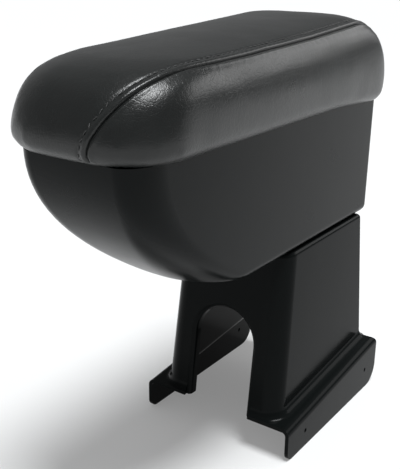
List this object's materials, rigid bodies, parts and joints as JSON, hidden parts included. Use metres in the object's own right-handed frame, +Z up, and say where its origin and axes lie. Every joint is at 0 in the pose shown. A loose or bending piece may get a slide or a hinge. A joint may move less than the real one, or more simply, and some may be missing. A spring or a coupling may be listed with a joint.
{
  "type": "car centre armrest",
  "caption": "Padded armrest lid, hinged at the rear of a boat-shaped storage bin, on a saddle-shaped base with screw flanges.",
  "frame": {"origin": "on the centre plane, at the middle of the lid's length, at the flanges' lower edges", "axes": "+X across the car, -Y towards the prow at the front, +Z up"},
  "size_m": [0.133, 0.32, 0.3191],
  "materials": {
    "base_plastic": "semi-gloss moulded black",
    "bin_plastic": "satin moulded black",
    "inner_plastic": "fine grain black",
    "leatherette": "fine creased grain, soft sheen",
    "foam": "open cell foam",
    "rubber_black": "matt",
    "steel": "zinc plated",
    "black_steel": "black plated"
  },
  "bodies": {
    "base": {"mounting_base": "base_plastic", "storage_bin": "bin_plastic", "bin_mat": "rubber_black", "bin_screws": "steel", "bin_washers": "steel", "clamp_plate": "black_steel", "lock_nuts": "steel", "hinge_leaf_bin": "black_steel", "hinge_backing_strip": "black_steel", "hinge_bin_screws": "steel", "hinge_pin": "steel"},
    "lid": {"hinge_leaf_lid": "black_steel", "hinge_lid_screws": "steel", "lid_board": "inner_plastic", "lid_foam": "foam", "cover_centre_panel": "leatherette", "cover_side_panel_left": "leatherette", "cover_side_panel_right": "leatherette", "lid_lining": "inner_plastic", "lining_screws": "steel", "bump_stops": "rubber_black"}
  },
  "joints": [
    {"name": "lid_hinge", "type": "hinge", "parent": "base", "child": "lid", "pos_m": [0, 0.1571, 0.2544], "axis": [-1, 0, 0], "range_deg": [0, 90]}
  ]
}
